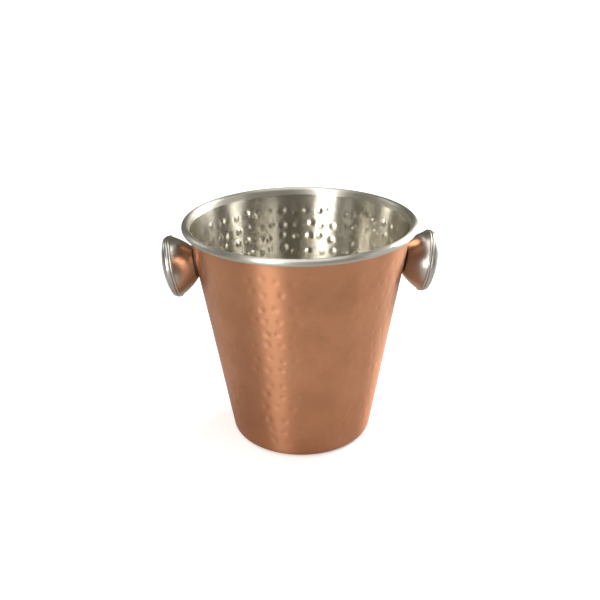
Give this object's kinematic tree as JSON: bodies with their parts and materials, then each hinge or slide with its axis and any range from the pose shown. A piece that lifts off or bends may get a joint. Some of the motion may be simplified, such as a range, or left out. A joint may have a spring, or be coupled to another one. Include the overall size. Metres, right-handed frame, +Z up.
{
  "type": "ice bucket",
  "caption": "Tapered single-wall ice bucket of hammered sheet metal, with a rolled rim and a flared knob on each side to lift it by.",
  "frame": {"origin": "middle of the base, on the plane it stands on", "axes": "+Z up along the bowl's axis; the two knobs lie on the X axis; +Y points away from the front"},
  "size_m": [0.237, 0.2, 0.1985],
  "materials": {
    "copper_plated_sheet": "steel sheet, hammered, copper plated and polished on the outside below the rim",
    "polished_steel": "bare steel, polished, hammered where it is the inside of the bowl",
    "steel_wire": "plain drawn wire, hidden in the rim",
    "plated_knob": "nickel plated and polished, with fine turning marks",
    "brass_insert": "turned brass, hidden in the knob",
    "black_rubber": "matte rubber"
  },
  "bodies": {
    "root": {"bucket_shell": "copper_plated_sheet", "rim_wire": "steel_wire", "left_knob_body": "plated_knob", "left_knob_face": "plated_knob", "left_knob_insert": "brass_insert", "left_knob_gasket": "black_rubber", "left_knob_washer": "polished_steel", "left_knob_screw": "polished_steel", "right_knob_body": "plated_knob", "right_knob_face": "plated_knob", "right_knob_insert": "brass_insert", "right_knob_gasket": "black_rubber", "right_knob_washer": "polished_steel", "right_knob_screw": "polished_steel"}
  },
  "joints": []
}
